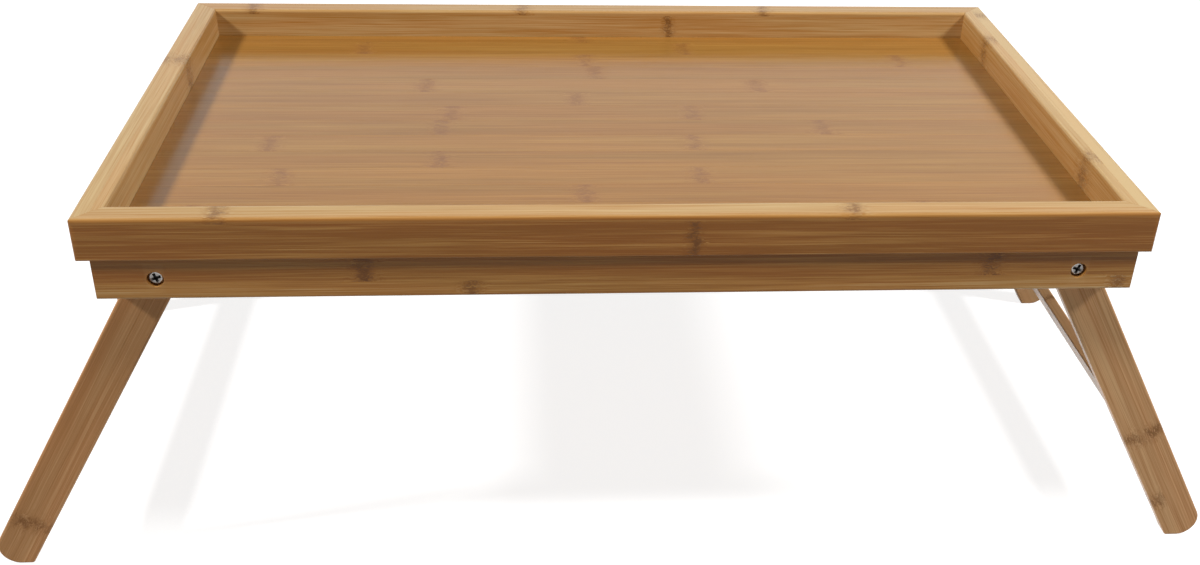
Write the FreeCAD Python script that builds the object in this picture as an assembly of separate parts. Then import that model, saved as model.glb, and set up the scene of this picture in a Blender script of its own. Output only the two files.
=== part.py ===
import FreeCAD, Part
import math
import os

# Bed tray table in laminated bamboo, 500 x 300 mm, with two folding leg frames.
#
# A mitred frame of four rails holds a thin panel in a rebate along its lower inside edge. Two
# lower rails, one along the front and one along the back, are screwed up into the frame from
# below. Each end of the table has a leg frame: two legs joined by a crossbar, which turn on a
# screw through each lower rail and fold flat under the panel.
#
# The table stands open: X runs along its length, Y from front to back and Z up from the floor.
# The origin is on the floor under the middle of the tray. All sizes are in millimetres.

V = FreeCAD.Vector
X_AXIS = V(1, 0, 0)
Y_AXIS = V(0, 1, 0)
Z_AXIS = V(0, 0, 1)
ORIGIN = V(0, 0, 0)

# --- Driving sizes -------------------------------------------------------------------------------
TRAY_LENGTH = 500.0
TRAY_DEPTH = 300.0
TABLE_HEIGHT = 210.0

RAIL_WIDTH = 14.0            # the frame rails and the lower rails are the same stock
RAIL_HEIGHT = 21.0
FRAME_TOP_ROUND = 1.6        # along the two upper edges of a frame rail
FRAME_FOOT_ROUND = 0.8       # along its lower outside edge
FRAME_CORNER_ROUND = 1.5     # down each outside corner of the tray

PANEL_THICKNESS = 4.5
PANEL_EDGE_THICKNESS = 3.0   # of the thinner margin that sits in the rebate
PANEL_PLAY = 0.2             # between the panel's edge and the back of the rebate
FIELD_PLAY = 0.15            # between the panel's full-thickness field and the rails
REBATE_WIDTH = 4.5

SPLINE_THICKNESS = 3.0
SPLINE_LENGTH = 11.0         # across the mitre
SPLINE_WIDTH = 8.4           # along the mitre
SPLINE_INSET = 1.1           # its middle from the middle of the mitre, inwards in X and in Y

LOWER_RAIL_LENGTH = 488.0
LOWER_RAIL_SETBACK = 2.0     # behind the frame's outside face
LOWER_RAIL_ROUND = 1.2

LEG_SPLAY = 30.0             # degrees from upright when open
LEG_WIDTH = 21.0
LEG_THICKNESS = 10.0
LEG_EDGE_ROUND = 1.2
LEG_TOE_ROUND = 1.5
LEG_STOP_GAP = 0.15          # between the flat top of an open leg and the panel
PIVOT_SPREAD = 433.0         # between the left and the right pivots

CROSSBAR_WIDTH = 20.0        # along the leg
CROSSBAR_THICKNESS = 6.4
CROSSBAR_DISTANCE = 151.0    # down the leg from the pivot to the crossbar's middle
CROSSBAR_ROUND = 0.8
TENON_WIDTH = 13.0
TENON_THICKNESS = 3.6
TENON_LENGTH = 6.0
MORTISE_SPARE = 0.4          # glue room past the tenon's end

SHANK_RADIUS = 1.75
SHANK_CHAMFER = 0.4
PIVOT_SCREW_LENGTH = 27.5    # under the head
HEAD_RADIUS = 3.2
HEAD_HEIGHT = 1.9
HEAD_ROUND = 1.0
COUNTERBORE_RADIUS = 3.9
COUNTERBORE_DEPTH = 3.4
RAIL_HOLE_RADIUS = 1.9
LEG_BORE_RADIUS = 1.83
WASHER_RADIUS = 4.5
WASHER_THICKNESS = 0.8
WASHER_PLAY = 0.1            # between a washer and the leg that turns beside it
NUT_ACROSS_FLATS = 6.0
NUT_HEIGHT = 2.8
NUT_BEVEL_ANGLE = 30.0       # degrees, on the hexagon's corners
NUT_COLLAR_RADIUS = 2.7
NUT_COLLAR_HEIGHT = 1.4
NYLON_RING_RADIUS = 2.35

CROSS_LENGTH = 3.4           # the cross cut in a screw head
CROSS_WIDTH = 0.9
CROSS_DEPTH = 1.2
CROSS_TAPER = 0.4            # its length at the bottom as a share of that at the top
PIVOT_CROSS_TURNS = (20, 70, 35, 85)   # degrees, as the four screws happened to stop
RAIL_CROSS_TURNS = (10, 40, 65)

RAIL_SCREW_RADIUS = 1.75
RAIL_SCREW_LENGTH = 33.0
RAIL_SCREW_POINT = 4.0
RAIL_SCREW_HEAD_RADIUS = 3.4
RAIL_SCREW_RIM = 0.4         # the straight rim under the flat of the countersunk head
RAIL_SCREW_SPACING = 170.0
RAIL_SCREW_INSET = 7.0       # from the frame's outside face, clear of the panel's edge

PIN_RADIUS = 0.6
PIN_LENGTH = 12.0
PIN_POINT = 1.2
PIN_HEAD_RADIUS = 1.1
PIN_HEAD_THICKNESS = 0.5
PIN_SPACING = 90.0
PIN_INSET = 11.8             # from the frame's outside end, through the panel's margin

# --- Places worked out from them -----------------------------------------------------------------
HALF_LENGTH = TRAY_LENGTH / 2
HALF_DEPTH = TRAY_DEPTH / 2
FRAME_BOTTOM = TABLE_HEIGHT - RAIL_HEIGHT
REBATE_TOP = FRAME_BOTTOM + PANEL_EDGE_THICKNESS
LOWER_RAIL_BOTTOM = FRAME_BOTTOM - RAIL_HEIGHT
LOWER_RAIL_OUTSIDE = HALF_DEPTH - LOWER_RAIL_SETBACK
LOWER_RAIL_INSIDE = LOWER_RAIL_OUTSIDE - RAIL_WIDTH
RAIL_SCREW_Y = HALF_DEPTH - RAIL_SCREW_INSET
SCREW_SEAT = LOWER_RAIL_OUTSIDE - COUNTERBORE_DEPTH
LEG_OUTSIDE = LOWER_RAIL_INSIDE - WASHER_THICKNESS - WASHER_PLAY
LEG_INSIDE = LEG_OUTSIDE - LEG_THICKNESS
LEG_RADIUS = LEG_WIDTH / 2
PIVOT_X = PIVOT_SPREAD / 2
PIVOT_Z = FRAME_BOTTOM - LEG_STOP_GAP - LEG_RADIUS
SPLAY_SIN = math.sin(math.radians(LEG_SPLAY))
SPLAY_COS = math.cos(math.radians(LEG_SPLAY))
LEG_SPAN = (PIVOT_Z - LEG_RADIUS) / SPLAY_COS      # from the pivot to the middle of the foot's round

LEFT, RIGHT = -1, 1
FRONT, BACK = -1, 1
SIDE_NAMES = {LEFT: "left", RIGHT: "right"}
END_NAMES = {FRONT: "front", BACK: "back"}


# --- Shapes used by several pieces ---------------------------------------------------------------
def export(name, *solids):
    """Writes one node: a single solid, or a group of separate ones."""
    shape = solids[0] if len(solids) == 1 else Part.makeCompound(list(solids))
    shape.exportStep(os.path.join("parts", name + ".step"))


def face_of(points):
    """A flat face through the points, where a pair (middle, end) is an arc."""
    edges = []
    here = points[0]
    for entry in points[1:] + [points[0]]:
        if isinstance(entry, tuple):
            middle, end = entry
            edges.append(Part.Arc(here, middle, end).toShape())
        else:
            end = entry
            edges.append(Part.LineSegment(here, end).toShape())
        here = end
    return Part.Face(Part.Wire(edges))


def turned(profile):
    """The solid of a profile in the XZ plane turned once round Z."""
    return face_of([V(x, 0, z) for x, z in profile]).revolve(ORIGIN, Z_AXIS, 360)


def circle_point(centre, radius, degrees):
    """A point of a circle in the YZ plane."""
    angle = math.radians(degrees)
    return centre + V(0, radius * math.cos(angle), radius * math.sin(angle))


def with_long_edges_rounded(box, length, radius):
    """A box with its four edges of this length rounded."""
    return box.makeFillet(radius, [e for e in box.Edges if abs(e.Length - length) < 1e-6])


def y_cylinder(radius, x, z, y_from, y_to):
    """A cylinder along Y between two places."""
    return Part.makeCylinder(radius, abs(y_to - y_from), V(x, min(y_from, y_to), z), Y_AXIS)


def cross_recess():
    """The cross of a screw head, cut down from Z = 0 and narrowing as it goes."""
    arms = []
    for turn in (0, 90):
        top = CROSS_LENGTH / 2
        bottom = top * CROSS_TAPER
        side = [
            V(-top, -CROSS_WIDTH / 2, 0),
            V(top, -CROSS_WIDTH / 2, 0),
            V(bottom, -CROSS_WIDTH / 2, -CROSS_DEPTH),
            V(-bottom, -CROSS_WIDTH / 2, -CROSS_DEPTH),
        ]
        arm = face_of(side).extrude(V(0, CROSS_WIDTH, 0))
        arm.rotate(ORIGIN, Z_AXIS, turn)
        arms.append(arm)
    return arms[0].fuse(arms[1]).removeSplitter()


# --- Tray frame ----------------------------------------------------------------------------------
def frame_rail_bar(length, half_span):
    """A frame rail along X before its mitres, on the -Y side of the tray."""
    outside = -half_span
    inside = outside + RAIL_WIDTH
    rebate = inside - REBATE_WIDTH
    top, bottom = TABLE_HEIGHT, FRAME_BOTTOM
    r, f = FRAME_TOP_ROUND, FRAME_FOOT_ROUND
    section = [
        V(0, outside + f, bottom),
        (circle_point(V(0, outside + f, bottom + f), f, 225), V(0, outside, bottom + f)),
        V(0, outside, top - r),
        (circle_point(V(0, outside + r, top - r), r, 135), V(0, outside + r, top)),
        V(0, inside - r, top),
        (circle_point(V(0, inside - r, top - r), r, 45), V(0, inside, top - r)),
        V(0, inside, REBATE_TOP),
        V(0, rebate, REBATE_TOP),
        V(0, rebate, bottom),
    ]
    bar = face_of(section).extrude(V(length, 0, 0))
    bar.translate(V(-length / 2, 0, 0))
    return bar


def mitre_prism(half_length, half_span):
    """The plan of a mitred rail on the -Y side, as a prism of the frame's height."""
    plan = [
        V(-half_length, -half_span, FRAME_BOTTOM),
        V(half_length, -half_span, FRAME_BOTTOM),
        V(half_length - RAIL_WIDTH, -half_span + RAIL_WIDTH, FRAME_BOTTOM),
        V(-half_length + RAIL_WIDTH, -half_span + RAIL_WIDTH, FRAME_BOTTOM),
    ]
    return face_of(plan).extrude(V(0, 0, RAIL_HEIGHT))


def tray_outline_prism():
    """The whole tray's plan with its four outside corners rounded."""
    block = Part.makeBox(
        TRAY_LENGTH, TRAY_DEPTH, RAIL_HEIGHT, V(-HALF_LENGTH, -HALF_DEPTH, FRAME_BOTTOM)
    )
    return with_long_edges_rounded(block, RAIL_HEIGHT, FRAME_CORNER_ROUND)


def corner_spline(side, end):
    """A loose tongue glued across one mitre."""
    tongue = Part.makeBox(
        SPLINE_LENGTH, SPLINE_WIDTH, SPLINE_THICKNESS,
        V(-SPLINE_LENGTH / 2, -SPLINE_WIDTH / 2, -SPLINE_THICKNESS / 2),
    )
    tongue.rotate(ORIGIN, Z_AXIS, -45 * side * end)
    inset = RAIL_WIDTH / 2 + SPLINE_INSET
    middle_z = (REBATE_TOP + TABLE_HEIGHT) / 2
    tongue.translate(V(side * (HALF_LENGTH - inset), end * (HALF_DEPTH - inset), middle_z))
    return tongue


def frame_rails(splines):
    """The four mitred rails by name, slotted for the splines."""
    outline = tray_outline_prism()
    rails = {}
    for name, length, half_span, turn in (
        ("front_frame_rail", TRAY_LENGTH, HALF_DEPTH, 0),
        ("right_frame_rail", TRAY_DEPTH, HALF_LENGTH, 90),
        ("back_frame_rail", TRAY_LENGTH, HALF_DEPTH, 180),
        ("left_frame_rail", TRAY_DEPTH, HALF_LENGTH, 270),
    ):
        rail = frame_rail_bar(length, half_span).common(mitre_prism(length / 2, half_span))
        rail.rotate(ORIGIN, Z_AXIS, turn)
        rails[name] = rail.common(outline).cut(splines)
    return rails


# --- Tray panel ----------------------------------------------------------------------------------
def panel_layer(margin, thickness):
    """A slab on the level of the frame's underside, this far inside the tray's outline."""
    return Part.makeBox(
        TRAY_LENGTH - 2 * margin, TRAY_DEPTH - 2 * margin, thickness,
        V(-HALF_LENGTH + margin, -HALF_DEPTH + margin, FRAME_BOTTOM),
    )


def tray_panel():
    """The panel: a field between the rails, and a thinner margin that sits in their rebate."""
    margin = panel_layer(RAIL_WIDTH - REBATE_WIDTH + PANEL_PLAY, PANEL_EDGE_THICKNESS)
    field = panel_layer(RAIL_WIDTH + FIELD_PLAY, PANEL_THICKNESS)
    return margin.fuse(field).removeSplitter()


def panel_pin(side, y):
    """A headed pin driven up through the panel's margin into an end rail."""
    pin = turned([
        (0, 0),
        (PIN_HEAD_RADIUS, 0),
        (PIN_HEAD_RADIUS, PIN_HEAD_THICKNESS),
        (PIN_RADIUS, PIN_HEAD_THICKNESS),
        (PIN_RADIUS, PIN_LENGTH - PIN_POINT),
        (0, PIN_LENGTH),
    ])
    pin.translate(V(side * (HALF_LENGTH - PIN_INSET), y, FRAME_BOTTOM))
    return pin


# --- Lower rails and the screws that hold them ---------------------------------------------------
def rail_screw(x, end):
    """A countersunk wood screw with no cross, its head in the underside of a lower rail."""
    neck = RAIL_SCREW_RIM + RAIL_SCREW_HEAD_RADIUS - RAIL_SCREW_RADIUS
    screw = turned([
        (0, 0),
        (RAIL_SCREW_HEAD_RADIUS, 0),
        (RAIL_SCREW_HEAD_RADIUS, RAIL_SCREW_RIM),
        (RAIL_SCREW_RADIUS, neck),
        (RAIL_SCREW_RADIUS, RAIL_SCREW_LENGTH - RAIL_SCREW_POINT),
        (0, RAIL_SCREW_LENGTH),
    ])
    screw.translate(V(x, end * RAIL_SCREW_Y, LOWER_RAIL_BOTTOM))
    return screw


def with_cross_below(screw, x, end, turn):
    """The wood screw with its cross, which faces down."""
    cross = cross_recess()
    cross.rotate(ORIGIN, X_AXIS, 180)
    cross.rotate(ORIGIN, Z_AXIS, turn)
    cross.translate(V(x, end * RAIL_SCREW_Y, LOWER_RAIL_BOTTOM))
    return screw.cut(cross)


def lower_rail(end, rail_screws):
    """A lower rail, bored for the two pivot screws and for its own."""
    low_y = min(end * LOWER_RAIL_INSIDE, end * LOWER_RAIL_OUTSIDE)
    bar = Part.makeBox(
        LOWER_RAIL_LENGTH, RAIL_WIDTH, RAIL_HEIGHT,
        V(-LOWER_RAIL_LENGTH / 2, low_y, LOWER_RAIL_BOTTOM),
    )
    rail = with_long_edges_rounded(bar, LOWER_RAIL_LENGTH, LOWER_RAIL_ROUND)
    holes = []
    for side in (LEFT, RIGHT):
        x = side * PIVOT_X
        inside, outside = end * LOWER_RAIL_INSIDE, end * LOWER_RAIL_OUTSIDE
        holes.append(y_cylinder(RAIL_HOLE_RADIUS, x, PIVOT_Z, inside, outside))
        holes.append(y_cylinder(COUNTERBORE_RADIUS, x, PIVOT_Z, end * SCREW_SEAT, outside))
    return rail.cut(holes + rail_screws)


# --- Pivots --------------------------------------------------------------------------------------
def at_pivot(solid, side, end, distance):
    """Lays a solid made upright along a pivot, its top facing out, this far from the middle."""
    solid.rotate(ORIGIN, X_AXIS, -90 * end)
    solid.translate(V(side * PIVOT_X, end * distance, PIVOT_Z))
    return solid


def pivot_screw(side, end, turn):
    """A pan-head screw with a cross recess, its head in the rail's counterbore."""
    r, h, e = HEAD_RADIUS, HEAD_HEIGHT, HEAD_ROUND
    diagonal = e * math.sqrt(0.5)
    tip = -PIVOT_SCREW_LENGTH
    outline = [
        V(0, 0, tip),
        V(SHANK_RADIUS - SHANK_CHAMFER, 0, tip),
        V(SHANK_RADIUS, 0, tip + SHANK_CHAMFER),
        V(SHANK_RADIUS, 0, 0),
        V(r, 0, 0),
        V(r, 0, h - e),
        (V(r - e + diagonal, 0, h - e + diagonal), V(r - e, 0, h)),
        V(0, 0, h),
    ]
    screw = face_of(outline).revolve(ORIGIN, Z_AXIS, 360)
    cross = cross_recess()
    cross.rotate(ORIGIN, Z_AXIS, turn)
    cross.translate(V(0, 0, h))
    return at_pivot(screw.cut(cross), side, end, SCREW_SEAT)


def washer(side, end, distance):
    """A plain washer whose outer face is this far from the tray's middle."""
    ring = turned([
        (RAIL_HOLE_RADIUS, -WASHER_THICKNESS),
        (WASHER_RADIUS, -WASHER_THICKNESS),
        (WASHER_RADIUS, 0),
        (RAIL_HOLE_RADIUS, 0),
    ])
    return at_pivot(ring, side, end, distance)


def nut_hexagon():
    """The hexagon of a nut below Z = 0, bevelled at both ends."""
    half_flat = NUT_ACROSS_FLATS / 2
    corner = half_flat / math.cos(math.radians(30))
    bevel = (corner - half_flat) * math.tan(math.radians(NUT_BEVEL_ANGLE))
    corners = []
    for i in range(6):
        angle = math.radians(60 * i)
        corners.append(V(corner * math.cos(angle), corner * math.sin(angle), 0))
    prism = face_of(corners).extrude(V(0, 0, -NUT_HEIGHT))
    limits = turned([
        (0, 0),
        (half_flat, 0),
        (corner, -bevel),
        (corner, -NUT_HEIGHT + bevel),
        (half_flat, -NUT_HEIGHT),
        (0, -NUT_HEIGHT),
    ])
    return prism.common(limits)


def lock_nut(side, end):
    """The steel of a locking nut, its collar towards the tray's middle, and its nylon ring."""
    foot = -NUT_HEIGHT - NUT_COLLAR_HEIGHT
    collar = Part.makeCylinder(NUT_COLLAR_RADIUS, -foot, V(0, 0, foot))
    bore = Part.makeCylinder(SHANK_RADIUS, -foot, V(0, 0, foot))
    seat = Part.makeCylinder(NYLON_RING_RADIUS, NUT_COLLAR_HEIGHT, V(0, 0, foot))
    steel = nut_hexagon().fuse(collar).removeSplitter().cut([bore, seat])
    ring = seat.cut(bore)
    distance = LEG_INSIDE - WASHER_PLAY - WASHER_THICKNESS
    return at_pivot(steel, side, end, distance), at_pivot(ring, side, end, distance)


# --- Leg frames ----------------------------------------------------------------------------------
def leg_point(side, along, across, y):
    """The place this far down the leg from its pivot, and this far outwards from its middle."""
    x = PIVOT_X + along * SPLAY_SIN + across * SPLAY_COS
    z = PIVOT_Z - along * SPLAY_COS + across * SPLAY_SIN
    return V(side * x, y, z)


def leg_face(side, y):
    """The leg seen from the front.

    Its foot is round on the outer side, flat where it stands on the floor, and has a small round
    at the toe. Its top is the same after a half turn about the leg's middle: the flat lies under
    the panel when the leg is open, and stops it there, and the round lets it fold inwards.
    """
    floor_angle = 90 + LEG_SPLAY           # angles turn from the outer side towards the toe
    toe_angle = (floor_angle + 180) / 2
    toe_reach = (LEG_RADIUS - LEG_TOE_ROUND) / math.cos(math.radians(180 - toe_angle))

    points = []
    for centre, half_turn in ((LEG_SPAN, 1), (0, -1)):

        def at(reach, angle, toe_round=0.0, toe_turn=0.0):
            along = reach * math.sin(math.radians(angle))
            along += toe_round * math.sin(math.radians(toe_turn))
            across = reach * math.cos(math.radians(angle))
            across += toe_round * math.cos(math.radians(toe_turn))
            return leg_point(side, centre + half_turn * along, half_turn * across, y)

        points += [
            at(LEG_RADIUS, 0),
            (at(LEG_RADIUS, floor_angle / 2), at(LEG_RADIUS, floor_angle)),
            at(toe_reach, toe_angle, LEG_TOE_ROUND, floor_angle),
            (at(toe_reach, toe_angle, LEG_TOE_ROUND, toe_angle),
             at(toe_reach, toe_angle, LEG_TOE_ROUND, 180)),
        ]
    return face_of(points)


def at_crossbar(solid, side, y):
    """Tilts a solid made upright at the origin with the leg, at the crossbar's height."""
    solid.rotate(ORIGIN, Y_AXIS, -side * LEG_SPLAY)
    solid.translate(leg_point(side, CROSSBAR_DISTANCE, 0, y))
    return solid


def tenon(side, end, spare=0.0):
    """The stub at one end of a crossbar, or with spare length the mortise for it."""
    length = TENON_LENGTH + spare
    low_y = min(0, end * length)
    stub = Part.makeBox(
        TENON_THICKNESS, length, TENON_WIDTH, V(-TENON_THICKNESS / 2, low_y, -TENON_WIDTH / 2)
    )
    return at_crossbar(stub, side, end * LEG_INSIDE)


def leg(side, end):
    """One leg, bored for its pivot and mortised for the crossbar."""
    low_y = min(end * LEG_INSIDE, end * LEG_OUTSIDE)
    high_y = low_y + LEG_THICKNESS
    blank = leg_face(side, low_y).extrude(V(0, LEG_THICKNESS, 0))
    rim = [e for e in blank.Edges if len({round(v.Y, 4) for v in e.Vertexes}) == 1]
    blank = blank.makeFillet(LEG_EDGE_ROUND, rim)
    bore = y_cylinder(LEG_BORE_RADIUS, side * PIVOT_X, PIVOT_Z, low_y, high_y)
    return blank.cut([bore, tenon(side, end, MORTISE_SPARE)])


def crossbar(side):
    """The slat between a pair of legs, with a stub tenon at each end."""
    length = 2 * LEG_INSIDE
    slat = Part.makeBox(
        CROSSBAR_THICKNESS, length, CROSSBAR_WIDTH, V(-CROSSBAR_THICKNESS / 2, 0, -CROSSBAR_WIDTH / 2)
    )
    slat = at_crossbar(with_long_edges_rounded(slat, length, CROSSBAR_ROUND), side, -LEG_INSIDE)
    return slat.fuse([tenon(side, FRONT), tenon(side, BACK)]).removeSplitter()


# --- The whole table -----------------------------------------------------------------------------
def export_tray():
    """The frame, its panel and what holds them together."""
    splines = {(side, end): corner_spline(side, end) for side in (LEFT, RIGHT) for end in (FRONT, BACK)}
    pins = [panel_pin(side, i * PIN_SPACING) for side in (LEFT, RIGHT) for i in (-1, 0, 1)]
    screws = {
        end: [rail_screw(i * RAIL_SCREW_SPACING, end) for i in (-1, 0, 1)] for end in (FRONT, BACK)
    }
    for name, rail in frame_rails(list(splines.values())).items():
        export(name, rail.cut(pins + screws[FRONT] + screws[BACK]))
    for (side, end), spline in splines.items():
        export(f"corner_spline_{END_NAMES[end]}_{SIDE_NAMES[side]}", spline)
    export("tray_panel", tray_panel().cut(pins))
    export("panel_pins", *pins)

    crossed_screws = []
    for end in (FRONT, BACK):
        export(END_NAMES[end] + "_lower_rail", lower_rail(end, screws[end]))
        for i, screw in enumerate(screws[end]):
            x = (i - 1) * RAIL_SCREW_SPACING
            crossed_screws.append(with_cross_below(screw, x, end, RAIL_CROSS_TURNS[i]))
    export("lower_rail_screws", *crossed_screws)


def export_leg_frames():
    """The two leg frames and the screws, washers and nuts that they turn on."""
    corners = [(side, end) for side in (LEFT, RIGHT) for end in (FRONT, BACK)]
    nylon_rings = []
    washers = []
    for (side, end), turn in zip(corners, PIVOT_CROSS_TURNS):
        where = f"{END_NAMES[end]}_{SIDE_NAMES[side]}"
        export("leg_" + where, leg(side, end))
        export("pivot_screw_" + where, pivot_screw(side, end, turn))
        steel, ring = lock_nut(side, end)
        export("lock_nut_" + where, steel)
        nylon_rings.append(ring)
        washers.append(washer(side, end, LOWER_RAIL_INSIDE))
        washers.append(washer(side, end, LEG_INSIDE - WASHER_PLAY))
    export("pivot_washers", *washers)
    export("nut_nylon_rings", *nylon_rings)
    for side in (LEFT, RIGHT):
        export("crossbar_" + SIDE_NAMES[side], crossbar(side))


os.makedirs("parts", exist_ok=True)
export_tray()
export_leg_frames()
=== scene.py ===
import math

import bmesh
import bpy
from mathutils import Matrix, Vector


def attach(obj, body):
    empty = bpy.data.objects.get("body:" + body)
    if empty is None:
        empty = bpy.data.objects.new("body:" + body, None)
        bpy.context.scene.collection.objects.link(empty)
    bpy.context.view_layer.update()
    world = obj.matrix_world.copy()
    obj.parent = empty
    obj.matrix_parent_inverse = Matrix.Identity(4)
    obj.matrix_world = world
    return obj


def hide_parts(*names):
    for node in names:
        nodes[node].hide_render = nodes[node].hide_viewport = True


# Bed tray table in varnished bamboo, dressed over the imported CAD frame. Metres, floor at Z = 0.
# Sizes below are written in millimetres and turned into metres where they are used.

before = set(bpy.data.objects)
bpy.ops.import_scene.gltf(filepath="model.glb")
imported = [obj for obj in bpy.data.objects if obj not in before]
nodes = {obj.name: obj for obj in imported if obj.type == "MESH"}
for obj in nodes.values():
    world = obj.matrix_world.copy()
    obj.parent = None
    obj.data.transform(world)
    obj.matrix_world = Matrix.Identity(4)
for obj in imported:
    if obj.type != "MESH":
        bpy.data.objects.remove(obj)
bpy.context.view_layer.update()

MM = 0.001

# --- Driving sizes, in millimetres ---------------------------------------------------------------
TRAY_LENGTH = 500.0
TRAY_DEPTH = 300.0
TABLE_HEIGHT = 210.0
RAIL_WIDTH = 14.0
RAIL_HEIGHT = 21.0
LOWER_RAIL_LENGTH = 488.0
LOWER_RAIL_SETBACK = 2.0
PIVOT_X = 216.5
PIVOT_Z = 178.35
SPLAY = math.radians(30)

FRAME_UNDERSIDE = TABLE_HEIGHT - RAIL_HEIGHT
LOWER_RAIL_UNDERSIDE = FRAME_UNDERSIDE - RAIL_HEIGHT
LOWER_RAIL_OUTSIDE = TRAY_DEPTH / 2 - LOWER_RAIL_SETBACK

# --- Camera --------------------------------------------------------------------------------------
CAMERA_PLACE = (-0.0500, -0.7144, 0.4948)
CAMERA_YAW = math.radians(-5.17)
CAMERA_DOWN = math.radians(31.05)
CAMERA_ROLL = math.radians(1.96)
SENSOR_WIDTH = 36.0
FOCAL_LENGTH = 41.715
PICTURE_SHIFT = (-0.0248, 0.0333)    # in widths of the picture


def set_camera():
    """The photograph's viewpoint: over the front of the tray, a little to the left of its middle."""
    lens = bpy.data.cameras.new("camera")
    lens.sensor_width = SENSOR_WIDTH
    lens.lens = FOCAL_LENGTH
    lens.shift_x, lens.shift_y = PICTURE_SHIFT
    camera = bpy.data.objects.new("camera", lens)
    turn = Matrix.Rotation(CAMERA_YAW, 4, "Z")
    turn = turn @ Matrix.Rotation(math.radians(90) - CAMERA_DOWN, 4, "X")
    turn = turn @ Matrix.Rotation(CAMERA_ROLL, 4, "Z")
    camera.matrix_world = Matrix.Translation(CAMERA_PLACE) @ turn
    bpy.context.scene.collection.objects.link(camera)
    bpy.context.scene.camera = camera


# --- Node trees ----------------------------------------------------------------------------------
class Tree:
    """A node tree under construction. A value fed to a socket is a number or another socket."""

    def __init__(self, tree):
        self.tree = tree

    def node(self, kind, **settings):
        made = self.tree.nodes.new(kind)
        for name, value in settings.items():
            setattr(made, name, value)
        return made

    def feed(self, socket, value):
        if isinstance(value, bpy.types.NodeSocket):
            self.tree.links.new(value, socket)
        elif value is not None:
            socket.default_value = value

    def put(self, kind, fed, **settings):
        """A node with its named or numbered inputs fed."""
        made = self.node(kind, **settings)
        for key, value in fed.items():
            self.feed(made.inputs[key], value)
        return made

    def math(self, operation, a, b=None, c=None):
        return self.put("ShaderNodeMath", {0: a, 1: b, 2: c}, operation=operation).outputs[0]

    def highest(self, values):
        best = values[0]
        for value in values[1:]:
            best = self.math("MAXIMUM", best, value)
        return best

    def scaled(self, vector, by):
        node = self.put("ShaderNodeVectorMath", {0: vector, "Scale": by}, operation="SCALE")
        return node.outputs[0]

    def xyz(self, x, y, z):
        return self.put("ShaderNodeCombineXYZ", {0: x, 1: y, 2: z}).outputs[0]

    def split(self, vector):
        return self.put("ShaderNodeSeparateXYZ", {0: vector}).outputs

    def steps(self, value, low, high, smooth=True, to_low=0.0, to_high=1.0):
        """Rises from to_low where value is low to to_high where it is high."""
        fed = {"Value": value, "From Min": low, "From Max": high}
        fed.update({"To Min": to_low, "To Max": to_high})
        kind = "SMOOTHSTEP" if smooth else "LINEAR"
        return self.put("ShaderNodeMapRange", fed, interpolation_type=kind).outputs[0]

    def attribute(self, name, output="Fac"):
        return self.node("ShaderNodeAttribute", attribute_name=name).outputs[output]

    def mix(self, amount, start, end, blend="MIX"):
        """Goes from the colour start where amount is 0 to the colour end where it is 1."""
        fed = {"Factor": amount, 6: start, 7: end}
        return self.put("ShaderNodeMix", fed, data_type="RGBA", blend_type=blend).outputs[2]


def noise(tree, place, detail=2.0, rough=0.5, seed=0.0):
    fed = {"Vector": place, "W": seed, "Scale": 1.0, "Detail": detail, "Roughness": rough}
    return tree.put("ShaderNodeTexNoise", fed, noise_dimensions="4D").outputs["Fac"]


def solid(colour):
    """A colour without transparency."""
    return (*colour, 1)


def shaded(colour, by):
    return [min(1.0, by * c) for c in colour]


def share(value, start, full):
    """How far value has come from start to full, from 0 to 1."""
    return min(1.0, max(0.0, (value - start) / (full - start)))


def new_paint(name):
    """A material, its node tree under construction and the inputs of its shader."""
    paint = bpy.data.materials.new(name)
    paint.use_nodes = True
    return paint, Tree(paint.node_tree), paint.node_tree.nodes["Principled BSDF"].inputs


# --- Studio --------------------------------------------------------------------------------------
WHITE = (1, 1, 1)
TRAY_MIDDLE = Vector((0, 0, 0.19))
ROOM_FILL = 0.02             # how strongly the white room lights the table
FLOOR_REACH = 6.0            # from the table out to each side of the floor, in metres
FLOOR_GREY = (0.45, 0.45, 0.45)
FLOOR_ROUGHNESS = 0.9
FLOOR_GLOW = 0.85            # lifts the floor to white where it is seen, without lighting the table


def seen_directly(tree):
    """1 for what the camera sees, also in a gloss or through a clear thing, and 0 for light."""
    path = tree.node("ShaderNodeLightPath").outputs
    return tree.highest(
        [path["Is Camera Ray"], path["Is Glossy Ray"], path["Is Transmission Ray"]])


def softbox(name, direction, distance, size, watts):
    """A square lamp that shines along direction at the middle of the tray. Metres."""
    lamp = bpy.data.lights.new(name, "AREA")
    lamp.shape = "SQUARE"
    lamp.size = size
    lamp.energy = watts
    holder = bpy.data.objects.new(name, lamp)
    travel = Vector(direction).normalized()
    holder.location = TRAY_MIDDLE - travel * distance
    holder.rotation_euler = travel.to_track_quat("-Z", "Y").to_euler()
    bpy.context.scene.collection.objects.link(holder)


def light_studio():
    """Two softboxes, high on the left and on the right and a little in front, in a white room."""
    bpy.context.scene.view_settings.view_transform = "Standard"
    softbox("left_softbox", (1, 0.33, -0.88), distance=3.4, size=0.36, watts=99)
    softbox("right_softbox", (-1, 0.35, -0.98), distance=2.1, size=0.33, watts=35.5)
    world = bpy.data.worlds.new("studio")
    bpy.context.scene.world = world
    world.use_nodes = True
    world.node_tree.nodes.clear()
    tree = Tree(world.node_tree)
    strength = tree.steps(seen_directly(tree), 0, 1, smooth=False, to_low=ROOM_FILL)
    sky = tree.put("ShaderNodeBackground", {"Color": solid(WHITE), "Strength": strength})
    tree.put("ShaderNodeOutputWorld", {"Surface": sky.outputs[0]})


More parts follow.
